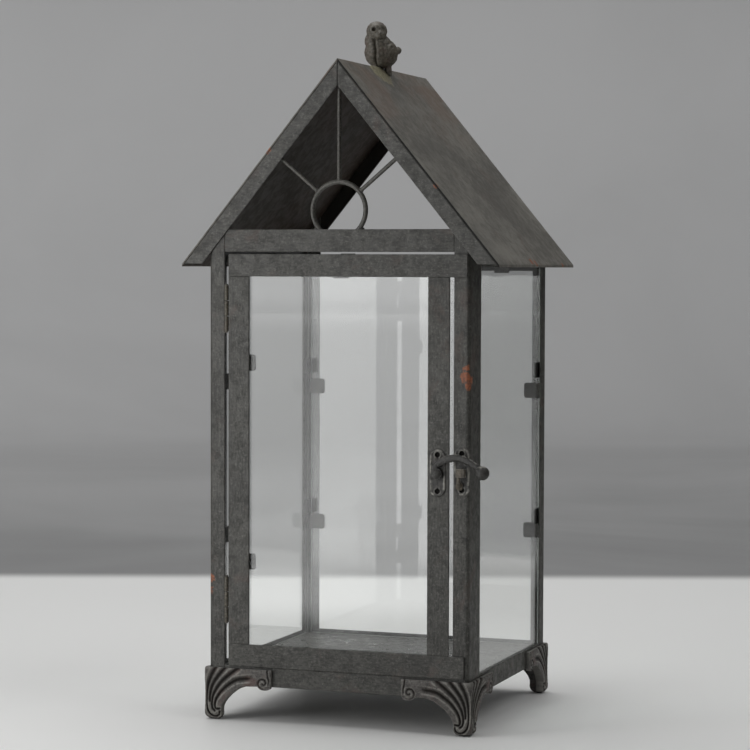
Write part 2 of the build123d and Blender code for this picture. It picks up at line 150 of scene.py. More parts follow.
def grain(tree, place, scale, detail=4.0, roughness=0.6, distortion=0.0, seed=0.0, stretch=(1, 1, 1)):
    """Noise in the frame's metres: scale is features per metre, stretch is per axis."""
    moved = add(tree, "Mapping", {"Vector": place, "Location": (seed, seed * 1.7, -seed), "Scale": stretch})
    inputs = {"Vector": moved.outputs[0], "Scale": scale, "Detail": detail}
    inputs.update({"Roughness": roughness, "Distortion": distortion})
    return add(tree, "TexNoise", inputs).outputs["Fac"]


def material(name):
    made = bpy.data.materials.new(name)
    made.use_nodes = True
    made.node_tree.nodes.clear()
    return made, made.node_tree


def show(tree, shader):
    add(tree, "OutputMaterial", {"Surface": shader})


def spots(tree, place, centres):
    """A mask of ragged spots, each (x, y, z, radius) in millimetres."""
    ragged = grain(tree, place, 420, 3, 0.6, 0.5, seed=3.1)
    total = None
    for x, y, z, radius in centres:
        away = add(tree, "VectorMath", {0: place, 1: (x * MM, y * MM, z * MM)}, operation="DISTANCE")
        near = math_node(tree, "DIVIDE", away.outputs["Value"], radius * MM)
        wobble = math_node(tree, "ADD", near, times(tree, ragged, 1.6))
        mask = fade(tree, wobble, 1.75, 1.35)
        total = mask if total is None else math_node(tree, "MAXIMUM", total, mask)
    return total


# ---------------------------------------------------------------- materials

# Rust that shows through, each (x, y, z, radius) in millimetres
RUST_SPOTS = (
    # front right post, above the latch
    (89.5, -87.0, 236.0, 4.6), (91.5, -87.0, 230.0, 3.4), (90.0, -87.0, 242.0, 2.6),
    (93.0, -84.0, 234.0, 3.4),
    # right eave
    (110.5, -8.0, 311.5, 3.2), (111.5, 0.5, 310.5, 2.8), (112.0, 66.0, 309.5, 2.6),
    # front left post, low down
    (-91.5, -87.0, 96.0, 3.6), (-92.5, -85.0, 88.0, 4.0),
    # front rakes
    (-49.5, -88.0, 386.0, 3.4), (69.0, -88.5, 361.0, 2.4),
)


def shades(tree, place, base, stretch, grainy):
    """Base paint with low clouds, fine grain and faint brushing, as (colour, mottle, grain, brushing)."""
    cloud = grain(tree, place, 22, 3, 0.55, 0.4, seed=1.3)
    mottle = grain(tree, place, 150, 5, 0.66, 0.3, seed=5.7)
    fine = grain(tree, place, 560, 4, 0.72, 0.0, seed=7.9)
    brushed = grain(tree, place, 760, 3, 0.62, 0.0, seed=2.2, stretch=stretch)
    colour = mix(tree, fade(tree, cloud, 0.36, 0.64), toned(base, 0.80), toned(base, 1.16))
    layers = (
        (mottle, 0.50, 0.64, 0.40, toned(base, 1.40)),
        (mottle, 0.50, 0.36, 0.50, toned(base, 0.55)),
        (brushed, 0.51, 0.64, 0.45 * grainy, toned(base, 1.75)),
        (brushed, 0.49, 0.36, 0.60 * grainy, toned(base, 0.30)),
        (fine, 0.54, 0.66, 0.42 * grainy, RUBBED_AND_HIGHLIGHT),
        (fine, 0.47, 0.34, 0.70 * grainy, toned(base, 0.25)),
    )
    for noise_value, low, high, share, tone in layers:
        colour = mix(tree, fade(tree, noise_value, low, high, 0.0, share), colour, tone)
    return colour, mottle, fine, brushed


def smeared(tree, place, colour, paint):
    """Wide smears that run across a roof sheet, brown near the ridge and paler towards the eave."""
    height = axis_of(tree, place, "Z")
    wide = grain(tree, place, 17, 4, 0.62, 0.9, seed=2.7, stretch=(1.0, 0.45, 1.0))
    brown = times(tree, fade(tree, wide, 0.44, 0.62), fade(tree, height, 372 * MM, 440 * MM))
    colour = mix(tree, times(tree, brown, 0.75), colour, SMEAR)
    dull = times(tree, fade(tree, wide, 0.50, 0.36), 0.55)
    colour = mix(tree, dull, colour, toned(paint, 0.60))
    pale = times(tree, fade(tree, wide, 0.50, 0.64), fade(tree, height, 440 * MM, 330 * MM))
    return mix(tree, times(tree, pale, 0.60), colour, toned(paint, 1.50))


def stained(tree, place, colour, amount):
    """Thin brown stains over the paint."""
    stain = grain(tree, place, 38, 4, 0.7, 0.6, seed=9.4)
    return mix(tree, fade(tree, stain, 0.55, 0.70, 0.0, amount), colour, STAIN)


def worn_paint(name, paint=PAINT, stretch=(1, 1, 1), rust=0.30, wear=0.55, rough=(0.44, 0.62),
               hidden=None, roof=False, grainy=1.0):
    """Dark paint on iron: finely grained, rubbed on edges, with thin rust here and there, and painted shade
    in seams and corners.

    hidden, if given, takes (tree, place) and returns (mask, colour) for painted shade on part of the surface.
    """
    made, tree = material(name)
    place = add(tree, "TexCoord").outputs["Object"]
    colour, mottle, fine, brushed = shades(tree, place, paint, stretch, grainy)
    colour = stained(tree, place, colour, rust)
    if roof:
        colour = smeared(tree, place, colour, paint)
    rounded = add(tree, "Bevel", {"Radius": EDGE_RADIUS}, samples=4)
    flat = add(tree, "NewGeometry").outputs["Normal"]
    turn = add(tree, "VectorMath", {0: rounded.outputs[0], 1: flat}, operation="DOT_PRODUCT")
    at_edge = fade(tree, turn.outputs["Value"], 0.995, 0.90)
    patchy = times(tree, at_edge, fade(tree, mottle, 0.38, 0.62, 0.10, 1.0))
    colour = mix(tree, times(tree, patchy, wear), colour, RUBBED_AND_HIGHLIGHT)
    flecked = mix(tree, fade(tree, fine, 0.40, 0.60), RUST, RUST_BRIGHT)
    colour = mix(tree, spots(tree, place, RUST_SPOTS), colour, flecked)
    # Painted shade: ambient occlusion darkens seams, corners and the gaps between parts.
    open_air = add(tree, "AmbientOcclusion", {"Distance": 3.5 * MM}, samples=5).outputs["AO"]
    colour = mix(tree, fade(tree, open_air, 0.62, 0.12, 0.0, 0.78), colour, CREVICE_SHADE)
    sheen, bumps = GLOSS, BUMPS
    # Painted shade where hidden gives a mask, with less gloss and no bumps there.
    if hidden:
        mask, tone = hidden(tree, place)
        colour = mix(tree, mask, colour, tone)
        sheen = fade(tree, mask, 0.0, 1.0, GLOSS, 0.14)
        bumps = fade(tree, mask, 0.0, 1.0, BUMPS, 0.0)
    height = math_node(tree, "ADD", mottle, times(tree, brushed, 0.5))
    height = math_node(tree, "ADD", height, times(tree, fine, 0.5))
    bump = add(tree, "Bump", {"Height": height, "Distance": 0.16 * MM, "Strength": bumps,
                              "Normal": rounded.outputs[0]})
    shader = add(tree, "BsdfPrincipled", {
        "Base Color": colour, "Roughness": fade(tree, mottle, 0.35, 0.65, rough[1], rough[0]),
        "Specular IOR Level": sheen, "Normal": bump.outputs[0],
    })
    show(tree, shader.outputs[0])
    return made


def sheet_underside(tree, place):
    """Painted shade on the roof sheets' downward faces and front edge, in brown clouds, with a painted red
    sheen near the ridge on the right.
    """
    facing = add(tree, "TexCoord").outputs["Normal"]
    right = axis_of(tree, place, "X")
    below = fade(tree, axis_of(tree, facing, "Z"), -0.2, -0.4)
    front = fade(tree, axis_of(tree, facing, "Y"), -0.7, -0.9)
    front = times(tree, front, fade(tree, right, -1 * MM, 1 * MM))
    cloud = grain(tree, place, 16, 2, 0.5, 0.3, seed=6.1)
    tone = mix(tree, fade(tree, cloud, 0.42, 0.64, 0.0, 0.6), UNDERSIDE_SHADE, UNDERSIDE_SHADE_BROWN)
    # Painted red sheen near the ridge on the right.
    red_sheen = times(tree, fade(tree, right, 4 * MM, 16 * MM), fade(tree, right, 52 * MM, 26 * MM))
    tone = mix(tree, red_sheen, tone, UNDERSIDE_SHEEN_RED)
    # Painted shade on the sheets' front edge.
    tone = mix(tree, front, tone, SHEET_END_SHADE)
    return math_node(tree, "MAXIMUM", below, front), tone


def inner_face(tree, place):
    """Painted shade on the faces that look into the roof space from the back."""
    facing = add(tree, "TexCoord").outputs["Normal"]
    return fade(tree, axis_of(tree, facing, "Y"), -0.4, -0.7), INNER_FACE_SHADE


def cast_iron(name, paint=CAST, rust=0.55, ridge_highlight=0.75):
    """Cast iron under worn paint: rough, rust-brown in places, with painted shade in the hollows and painted
    highlights on the ridges.
    """
    made, tree = material(name)
    place = add(tree, "TexCoord").outputs["Object"]
    broad = grain(tree, place, 85, 4, 0.65, 0.5, seed=4.2)
    mottle = grain(tree, place, 420, 5, 0.70, 0.3, seed=6.6)
    pits = grain(tree, place, 1500, 3, 0.65, 0.0, seed=8.8)
    colour = mix(tree, fade(tree, mottle, 0.32, 0.68), toned(paint, 0.45), toned(paint, 1.30))
    colour = mix(tree, fade(tree, broad, 0.50, 0.66, 0.0, rust), colour, CAST_BROWN)
    # Painted highlight on convex ridges and painted shade in concave hollows, from the mesh's curvature.
    ridge = add(tree, "NewGeometry").outputs["Pointiness"]
    colour = mix(tree, fade(tree, ridge, 0.505, 0.550, 0.0, ridge_highlight), colour, RUBBED_AND_HIGHLIGHT)
    colour = mix(tree, fade(tree, ridge, 0.495, 0.450, 0.0, 0.90), colour, CREVICE_SHADE)
    colour = mix(tree, fade(tree, pits, 0.58, 0.72, 0.0, 0.40), colour, RUBBED_AND_HIGHLIGHT)
    # Painted highlight where a piece marks its crests.
    painted_light = add(tree, "Attribute", attribute_name="crest_highlight").outputs["Fac"]
    painted_light = times(tree, painted_light, fade(tree, mottle, 0.34, 0.58, 0.25, 1.0))
    colour = mix(tree, painted_light, colour, CAST_HIGHLIGHT)
    # Painted shade: ambient occlusion darkens the hollows and the gaps between parts.
    open_air = add(tree, "AmbientOcclusion", {"Distance": 2.2 * MM}, samples=6).outputs["AO"]
    colour = mix(tree, fade(tree, open_air, 0.80, 0.30, 0.0, 0.88), colour, CAST_HOLLOW_SHADE)
    # Painted shade in the marked hollows, with less gloss there.
    sunk_shade = add(tree, "Attribute", attribute_name="hollow_shade").outputs["Fac"]
    colour = mix(tree, sunk_shade, colour, toned(paint, 0.20))
    height = math_node(tree, "ADD", mottle, times(tree, pits, 0.5))
    bump = add(tree, "Bump", {"Height": height, "Distance": 0.38 * MM, "Strength": 0.9})
    shader = add(tree, "BsdfPrincipled", {
        "Base Color": colour, "Roughness": fade(tree, mottle, 0.35, 0.65, 0.60, 0.42),
        "Specular IOR Level": fade(tree, sunk_shade, 0.0, 0.8, 0.45, 0.05), "Normal": bump.outputs[0],
    })
    show(tree, shader.outputs[0])
    return made


def clear_glass(name, across):
    """Thin float glass with pale ground edges; across is the pane's thin axis."""
    made, tree = material(name)
    coords = add(tree, "TexCoord")
    glass = add(tree, "BsdfPrincipled", {
        "Base Color": (*GLASS, 1.0), "Roughness": 0.0, "IOR": 1.5, "Transmission Weight": 1.0,
    })
    frost = grain(tree, coords.outputs["Object"], 900, 2, 0.5, 0.0, seed=12.0)
    edge = add(tree, "BsdfTranslucent", {"Color": mix(tree, frost, GLASS_EDGE, GLASS_EDGE_PALE)})
    facing = axis_of(tree, coords.outputs["Normal"], across)
    ground = fade(tree, math_node(tree, "ABSOLUTE", facing), 0.7, 0.4, 0.0, 0.9)
    pane = add(tree, "MixShader", {0: ground, 1: glass.outputs[0], 2: edge.outputs[0]})
    clear = add(tree, "BsdfTransparent", {"Color": (*GLASS_SHADOW, 1.0)})
    ray = add(tree, "LightPath").outputs["Is Shadow Ray"]
    show(tree, add(tree, "MixShader", {0: ray, 1: pane.outputs[0], 2: clear.outputs[0]}).outputs[0])
    return made


def solder(name):
    """Dull olive solder, smeared and stained."""
    made, tree = material(name)
    place = add(tree, "TexCoord").outputs["Object"]
    mottle = grain(tree, place, 420, 5, 0.65, 0.6, seed=2.9)
    broad = grain(tree, place, 120, 4, 0.6, 0.6, seed=0.4)
    colour = mix(tree, fade(tree, mottle, 0.35, 0.65), toned(SOLDER, 0.6), SOLDER)
    colour = mix(tree, fade(tree, broad, 0.50, 0.66, 0.0, 0.7), colour, SOLDER_BROWN)
    bump = add(tree, "Bump", {"Height": mottle, "Distance": 0.3 * MM, "Strength": 0.6})
    shader = add(tree, "BsdfPrincipled", {
        "Base Color": colour, "Roughness": fade(tree, mottle, 0.3, 0.7, 0.60, 0.36),
        "Normal": bump.outputs[0],
    })
    show(tree, shader.outputs[0])
    return made


def stage_tone(name):
    """Pale square floor, in line with the camera, in a mid-grey surround that lightens into the wall, with
    painted shade on the wall at the right.
    """
    made, tree = material(name)
    place = add(tree, "NewGeometry").outputs["Position"]
    flat = add(tree, "VectorMath", {0: place, 1: (1, 1, 0)}, operation="MULTIPLY").outputs[0]
    away = add(tree, "VectorMath", {0: flat}, operation="LENGTH").outputs["Value"]
    turn = {"Vector": flat, "Angle": math.radians(CAMERA_YAW)}
    turned = add(tree, "VectorRotate", turn, rotation_type="Z_AXIS").outputs[0]
    square = add(tree, "VectorMath", {0: turned}, operation="ABSOLUTE").outputs[0]
    sides = {0: axis_of(tree, square, "X"), 1: axis_of(tree, square, "Y"), 2: 0.15}
    edge = add(tree, "Math", sides, operation="SMOOTH_MAX").outputs[0]
    cloud = grain(tree, place, 1.3, 4, 0.55, 0.5, seed=3.0)
    far = mix(tree, fade(tree, away, 0.9, 3.9), SURROUND, WALL)
    far = mix(tree, fade(tree, cloud, 0.3, 0.7, 0.0, 0.14), far, WALL_PALE)
    # Painted shade: the wall darkens towards the right.
    far = mix(tree, fade(tree, axis_of(tree, turned, "X"), 0.9, 1.9, 0.0, 0.85), far, WALL_SHADE)
    colour = mix(tree, fade(tree, edge, *SQUARE_EDGE), FLOOR, far)
    shader = add(tree, "BsdfPrincipled", {"Base Color": colour, "Roughness": 0.5, "Specular IOR Level": 0.35})
    show(tree, shader.outputs[0])
    return made


STRIP_UP = worn_paint("strip_up", stretch=(1.0, 1.0, 0.20))
STRIP_ACROSS = worn_paint("strip_across", stretch=(0.30, 0.6, 1.0))
STRIP_ALONG = worn_paint("strip_along", stretch=(1.0, 0.30, 1.0))
RAKE_BACK = worn_paint("strip_back_gable", stretch=(0.30, 0.6, 1.0), hidden=inner_face)
# The roof sheet's paint is lighter than the strips' paint: painted light on the roof's upper faces.
SHEET = worn_paint("roof_sheet", paint=(0.160, 0.152, 0.134), stretch=(1, 0.7, 1), wear=0.35,
                   hidden=sheet_underside, roof=True, grainy=0.25)
TRAY = worn_paint("tray_sheet", rough=(0.26, 0.42), rust=0.15, wear=0.4)
WIRE = worn_paint("wire", paint=(0.066, 0.063, 0.054), rust=0.2, wear=0.3, rough=(0.30, 0.46))
HARDWARE = worn_paint("hardware", paint=(0.040, 0.038, 0.034), wear=0.6, rust=0.3)
HINGE = worn_paint("hinge", paint=(0.088, 0.078, 0.057), wear=0.8, rust=0.2, rough=(0.30, 0.46))
IRON = cast_iron("cast_feet", rust=0.70)
IRON_DARK = cast_iron("cast_latch", paint=(0.026, 0.025, 0.022), rust=0.06, ridge_highlight=0.22)
IRON_STUD = cast_iron("cast_stud", paint=(0.098, 0.082, 0.058), rust=0.25, ridge_highlight=0.55)
IRON_BIRD = cast_iron("cast_bird", paint=(0.108, 0.094, 0.070), rust=0.55, ridge_highlight=0.50)
SIDE_GLASS = clear_glass("side_glass", "X")
FLAT_GLASS = clear_glass("door_and_back_glass", "Y")
SOLDERED = solder("solder_smear")


# ---------------------------------------------------------------- mesh helpers

def piece(name, mesh, body, finish, replaces=(), angle=42):
    """A finished piece from a mesh already in the frame's place."""
    made = bpy.data.objects.new(name, mesh)
    bpy.context.scene.collection.objects.link(made)
    mesh.materials.clear()
    mesh.materials.append(finish)
    mesh.shade_smooth()
    mesh.set_sharp_from_angle(angle=math.radians(angle))
    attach(made, body)
    if replaces:
        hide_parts(*replaces)
    return made


def to_mesh(name, bm):
    bmesh.ops.remove_doubles(bm, verts=bm.verts, dist=0.004 * MM)
    bmesh.ops.dissolve_degenerate(bm, edges=bm.edges, dist=0.002 * MM)
    bmesh.ops.recalc_face_normals(bm, faces=bm.faces)
    mesh = bpy.data.meshes.new(name)
    bm.to_mesh(mesh)
    bm.free()
    return mesh


def ball(bm, centre, radii, turn=None, rings=16):
    """An ellipsoid in millimetres; turn is a rotation matrix."""
    place = Matrix.Translation(Vector(centre) * MM)
    if turn is not None:
        place = place @ turn.to_4x4()
    place = place @ Matrix.Diagonal((*[r * MM for r in radii], 1.0))
    bmesh.ops.create_uvsphere(bm, u_segments=rings * 2, v_segments=rings, radius=1.0, matrix=place)


def skin(bm, rings):
    """Faces between each ring of vertices and the next."""
    count = len(rings[0])
    for near, far in zip(rings, rings[1:]):
        for k in range(count):
            bm.faces.new((near[k], near[(k + 1) % count], far[(k + 1) % count], far[k]))


def tube(bm, points, sizes, upright=Vector((0, 1, 0)), around=20):
    """A bar through points in millimetres; each size is (half in the bend's plane, half along upright)."""
    path = [Vector(p) for p in points]
    rings = []
    for i, (at, (high, deep)) in enumerate(zip(path, sizes)):
        ahead = path[min(i + 1, len(path) - 1)] - path[max(i - 1, 0)]
        side = ahead.normalized().cross(upright).normalized()
        ring = []
        for k in range(around):
            angle = 2 * math.pi * k / around
            offset = side * (math.cos(angle) * high) + upright * (math.sin(angle) * deep)
            ring.append(bm.verts.new((at + offset) * MM))
        rings.append(ring)
    skin(bm, rings)
    bm.faces.new(rings[0])
    bm.faces.new(list(reversed(rings[-1])))


def fuse(name, bm, voxel, smooth):
    """One skin over everything in bm, as if poured in one casting."""
    bmesh.ops.recalc_face_normals(bm, faces=bm.faces)
    mesh = bpy.data.meshes.new(name + "_rough")
    bm.to_mesh(mesh)
    bm.free()
    rough = bpy.data.objects.new(name + "_rough", mesh)
    bpy.context.scene.collection.objects.link(rough)
    remesh = rough.modifiers.new("skin", "REMESH")
    remesh.mode = "VOXEL"
    remesh.voxel_size = voxel * MM
    soften = rough.modifiers.new("soften", "SMOOTH")
    soften.factor = 0.5
    soften.iterations = smooth
    depsgraph = bpy.context.evaluated_depsgraph_get()
    fused = bpy.data.meshes.new_from_object(rough.evaluated_get(depsgraph))
    fused.name = name
    bpy.data.objects.remove(rough)
    bpy.data.meshes.remove(mesh)
    return fused


def move_points(mesh, shift):
    """Move each vertex along its normal by shift(point in mm, normal), in millimetres."""
    normals = [v.normal.copy() for v in mesh.vertices]
    for vertex, normal in zip(mesh.vertices, normals):
        vertex.co += normal * (shift(vertex.co / MM, normal) * MM)
    mesh.update()


def mark_painted_light(mesh, painted_light):
    """Store for each vertex its painted shade and painted highlight, as given by a function of (point in mm,
    normal).
    """
    layers = [mesh.attributes.new(mark, "FLOAT", "POINT") for mark in ("hollow_shade", "crest_highlight")]
    for vertex in mesh.vertices:
        for layer, amount in zip(layers, painted_light(vertex.co / MM, vertex.normal)):
            layer.data[vertex.index].value = amount


def smoothstep(low, high, value):
    t = min(max((value - low) / (high - low), 0.0), 1.0)
    return t * t * (3 - 2 * t)


# ---------------------------------------------------------------- feet

FOOT_HIGH = 35.6
FOOT_LONG = 49.0
FAN_CENTRE = (32.0, 6.0)  # flutes fan out around this point of the foot's side view
FAN_REACH = 47.0
# Centre lines of the flutes, from the top of the foot to its toe, as (u, v) in its side view
GROOVES = (
    ((8.6, 36.0), (4.9, 28.9), (2.6, 21.7), (1.9, 13.5), (2.6, 7.2), (5.0, 3.4), (8.4, 2.1), (11.0, 3.4),
     (11.6, 5.6)),
    ((15.6, 36.0), (9.7, 28.9), (5.9, 22.6), (4.5, 16.6), (4.4, 12.4)),
    ((25.0, 36.0), (15.9, 28.9), (10.7, 23.3), (7.0, 17.1), (5.8, 11.5), (6.4, 7.6), (7.9, 6.0)),
    ((37.0, 29.6), (25.4, 28.2), (19.1, 24.9), (13.4, 20.2), (9.3, 14.6), (8.0, 10.0), (8.8, 7.4),
     (11.6, 7.6)),
)
FLUTE_DEPTH = 1.35
CURL_AT = (43.4, 26.6)    # middle of the small spiral at the wing's end
CURL_DEPTH = 0.55
TOE_HIGH = 4.5
TOE_INSET = 4.2
CORNER_R = 2.5
WING_LOW = 23.8
ACROSS = 50               # points across each row of the foot's mesh


def heel(v):
    """How far the foot's outer faces draw in at height v."""
    if v >= TOE_HIGH:
        return 0.0
    return TOE_INSET * (1 - math.sqrt(1 - (1 - v / TOE_HIGH) ** 2))


def arch_line():
    """The foot's inner edge as points (u, v): sole, toe, arch, underside and end lobe."""
    points = []
    for i in range(15):
        angle = math.radians(-68 + 83 * i / 14)
        points.append((8.35 + 4.35 * math.cos(angle), TOE_HIGH + TOE_HIGH * math.sin(angle)))
    points[0] = (9.0, 0.0)
    points += [(12.70, 8.6), (14.1, 11.6), (16.2, 14.3), (19.1, 17.3), (22.5, 19.9), (26.6, 22.3)]
    points.append((31.0, WING_LOW))
    return points


def inner_radius(theta):
    """Distance from the fan's centre to the arch in direction theta (degrees)."""
    du, dv = math.cos(math.radians(theta)), math.sin(math.radians(theta))
    line = arch_line()
    best = None
    for (u0, v0), (u1, v1) in zip(line, line[1:] + [(40.0, 24.1)]):
        eu, ev = u1 - u0, v1 - v0
        cross = du * ev - dv * eu
        if abs(cross) < 1e-9:
            continue
        wu, wv = u0 - FAN_CENTRE[0], v0 - FAN_CENTRE[1]
        along = (wu * ev - wv * eu) / cross
        share = (wu * dv - wv * du) / cross
        if along > 0 and -1e-6 <= share <= 1 + 1e-6 and (best is None or along < best):
            best = along
    return best


def underside(u):
    """Lower edge of the wing beyond the arch, with the lobe at its end."""
    straight = WING_LOW + 0.4 * min(max((u - 31) / 8.5, 0), 1)
    if u <= 39.5:
        return straight
    return 24.3 - 2.5 * math.sqrt(max(0.0, 1 - ((u - 44.25) / 4.75) ** 2))


def foot_stations():
    """Rows of (u, v, c) across the foot; c is 1 at the arch and 0 at the outer edge of the flutes' fan.

    Each row also says whether its outer end is on the corner.
    """
    rows = []
    edge = arch_line()
    shares = [j / (ACROSS - 1) for j in range(ACROSS)]
    for i in range(16):
        v = 6.0 * (i / 16) ** 1.15
        right = next(u0 + (u1 - u0) * (v - v0) / (v1 - v0)
                     for (u0, v0), (u1, v1) in zip(edge, edge[1:]) if v0 <= v <= v1)
        left = heel(v)
        rows.append(([(right + (left - right) * s, v, 1 - s) for s in shares], True))
    corner = 180 - math.degrees(math.atan2(FOOT_HIGH - FAN_CENTRE[1], FAN_CENTRE[0]))
    thetas = [180 - (180 - corner) * i / 24 for i in range(25)]
    thetas += [corner - (corner - 90) * i / 34 for i in range(1, 35)]
    for theta in thetas:
        du, dv = math.cos(math.radians(theta)), math.sin(math.radians(theta))
        near = inner_radius(theta)
        on_corner = theta >= corner - 1e-9
        far = FAN_CENTRE[0] / -du if on_corner else (FOOT_HIGH - FAN_CENTRE[1]) / dv
        reach = min(FAN_REACH, FAN_CENTRE[0] / -du) if du < -1e-9 else FAN_REACH
        row = []
        for s in shares:
            r = near + (far - near) * s
            row.append((FAN_CENTRE[0] + du * r, FAN_CENTRE[1] + dv * r, 1 - (r - near) / (reach - near)))
        rows.append((row, on_corner))
    reach = FAN_CENTRE[1] + FAN_REACH
    for i in range(1, 40):
        u = FAN_CENTRE[0] + (FOOT_LONG - FAN_CENTRE[0]) * i / 39
        low = underside(u)
        row = []
        for s in shares:
            v = low + (FOOT_HIGH - low) * s
            row.append((u, v, 1 - (v - 23.9) / (reach - 23.9)))
        rows.append((row, False))
    return rows


def smooth_line(points, steps=7):
    """Points along a smooth curve through the given (u, v) points."""
    line = []
    count = len(points)
    for i in range(count - 1):
        a, b, c, d = (points[min(max(i + k, 0), count - 1)] for k in (-1, 0, 1, 2))
        for j in range(steps):
            t = j / steps
            line.append(tuple(
                0.5 * (2 * b[n] + (c[n] - a[n]) * t + (2 * a[n] - 5 * b[n] + 4 * c[n] - d[n]) * t * t
                       + (3 * b[n] - a[n] - 3 * c[n] + d[n]) * t * t * t) for n in (0, 1)))
    line.append(points[-1])
    return line


def gap_to(line, u, v):
    """Shortest distance from (u, v) to a line of points."""
    best = 1e9
    for (u0, v0), (u1, v1) in zip(line, line[1:]):
        eu, ev = u1 - u0, v1 - v0
        t = min(max(((u - u0) * eu + (v - v0) * ev) / (eu * eu + ev * ev), 0.0), 1.0)
        best = min(best, (u - u0 - eu * t) ** 2 + (v - v0 - ev * t) ** 2)
    return math.sqrt(best)


GROOVE_LINES = [smooth_line(groove) for groove in GROOVES]
relief = {}


def flute(u, v, c):
    """The cast relief: its depth below the foot's face in millimetres, its painted shade in the grooves and
    its painted highlight along the ridges.
    """
    key = (round(u, 4), round(v, 4))
    if key in relief:
        return relief[key]
    near = min(gap_to(line, u, v) for line in GROOVE_LINES)
    width = 0.80 + 0.85 * smoothstep(6, 30, v)
    fading = 1 - smoothstep(30, 38, u)
    cut = FLUTE_DEPTH * math.exp(-((near / width) ** 1.6)) * fading
    # Painted shade down the middle of each groove, painted highlight along the ridge beside it.
    hollow_shade = 0.94 * math.exp(-((near / (0.75 * width)) ** 2.0)) * fading
    crest_highlight = 0.55 * math.exp(-(((near - 1.65 * width) / 0.55) ** 2)) * fading
    curl = math.hypot(u - CURL_AT[0], v - CURL_AT[1])
    turn = math.atan2(v - CURL_AT[1], u - CURL_AT[0]) / (2 * math.pi)
    spiral = CURL_DEPTH * (0.5 - 0.5 * math.cos(2 * math.pi * (curl / 3.6 - turn)))
    inside = smoothstep(5.0, 3.4, curl)
    cut += spiral * inside
    notch = math.exp(-(((u - 46.9 - 0.5 * math.sin(v * 0.5)) / 0.5) ** 2)) * smoothstep(24.5, 27.5, v)
    cut += 0.75 * notch
    hollow_shade = max(hollow_shade, 0.7 * notch, 0.8 * (spiral / CURL_DEPTH) ** 3 * inside)
    crest_highlight = max(crest_highlight, 0.45 * (1 - spiral / CURL_DEPTH) ** 2 * inside)
    edge = min(FOOT_HIGH - v, FOOT_LONG - u)
    cut += 0.6 * (1 - smoothstep(0.0, 1.0, edge)) + 0.5 * smoothstep(0.965, 1.0, c)
    rough = 0.14 + 0.16 * smoothstep(28, 36, u)
    cut += noise.fractal(Vector((u * 0.6, v * 0.6, 2.0)), 0.9, 2.1, 3) * rough
    relief[key] = (max(cut, 0.0), hollow_shade, crest_highlight * (1 - hollow_shade))
    return relief[key]


def on_face(u, v, depth):
    """Plan place (along, inwards) of a point of the outer face, round the corner's edge."""
    drawn = heel(v)
    t = (u - drawn) / CORNER_R
    if t >= 1:
        return u, drawn + depth
    turn = (1 - max(t, 0.0)) * math.pi / 4
    arm = CORNER_R - depth
    return drawn + CORNER_R - arm * math.sin(turn), drawn + CORNER_R - arm * math.cos(turn)


def back_depth(v):
    """Wall of the casting: thick at the toe, thin over the posts."""
    return 6.0 - 3.0 * smoothstep(19.0, 23.4, v)


def foot_mesh(name, side, face, inward):
    """One foot, both wings, with side -1 or 1 in X and inward the direction in Y from its outer face."""
    bm = bmesh.new()
    # Per-vertex painted shade and painted highlight from the flutes
    marks = [bm.verts.layers.float.new(mark) for mark in ("hollow_shade", "crest_highlight")]
    rows = foot_stations()
    for swap in (False, True):
        front, back = [], []
        for row, on_corner in rows:
            front_row, back_row = [], []
            for u, v, c in row:
                cut, *painted_light = flute(u, v, c)
                a, b = on_face(u, v, cut)
                wall = max(back_depth(v), heel(v) + 1.2)
                for target, along, deep in ((front_row, a, b), (back_row, max(u, wall), wall)):
                    x, y = (deep, along) if swap else (along, deep)
                    made = bm.verts.new((side * (FOOT_OUT - x) * MM, (face + inward * y) * MM, v * MM))
                    for mark, amount in zip(marks, painted_light if target is front_row else (0.0, 0.0)):
                        made[mark] = amount
                    target.append(made)
            front.append(front_row)
            back.append(back_row)
        last = ACROSS - 1
        for i in range(len(rows) - 1):
            for j in range(last):
                bm.faces.new((front[i][j], front[i + 1][j], front[i + 1][j + 1], front[i][j + 1]))
                bm.faces.new((back[i][j], back[i][j + 1], back[i + 1][j + 1], back[i + 1][j]))
            bm.faces.new((front[i][0], back[i][0], back[i + 1][0], front[i + 1][0]))
            if not (rows[i][1] and rows[i + 1][1]):
                bm.faces.new((front[i][last], front[i + 1][last], back[i + 1][last], back[i][last]))
        for i in (0, len(rows) - 1):
            for j in range(last):
                bm.faces.new((front[i][j], front[i][j + 1], back[i][j + 1], back[i][j]))
    return to_mesh(name, bm)


FOOT_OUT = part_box("front_right_foot")[1].x / MM

for label, side, inward in (
    ("front_left", -1, 1), ("front_right", 1, 1), ("back_left", -1, -1), ("back_right", 1, -1),
):
    low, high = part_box(f"{label}_foot")
    face = (low.y if inward > 0 else high.y) / MM
    mesh = foot_mesh(f"{label}_fluted_foot", side, face, inward)
    piece(f"{label}_fluted_foot", mesh, "case", IRON, [f"{label}_foot"], angle=60)


# ---------------------------------------------------------------- bird

ROOF_LOW, ROOF_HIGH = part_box("right_roof_panel")
ROOF_SLOPE = (ROOF_HIGH.z - ROOF_LOW.z) / (ROOF_HIGH.x - ROOF_LOW.x)
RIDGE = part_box("left_roof_panel")[1].z / MM
BODY = Vector((-0.7, -0.2, RIDGE + 10.3))
HEAD = Vector((-2.4, -4.9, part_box("bird_finial")[1].z / MM - 7.4))
EYES = ((HEAD + Vector((0.2, -6.6, 0.8)), 1.0), (HEAD + Vector((5.6, -3.1, 1.3)), 0.3))  # place, strength
BREAST_TURN = 14.0       # degrees the breast faces round from straight ahead
UP = Vector((0, 0, 1))


def round_breast(point):
    """How far a point is round from the breast's middle, and half the breast's spread, in degrees."""
    away = point - BODY
    return math.degrees(math.atan2(away.x, -away.y)) - BREAST_TURN, 15 + 0.9 * abs(away.z)


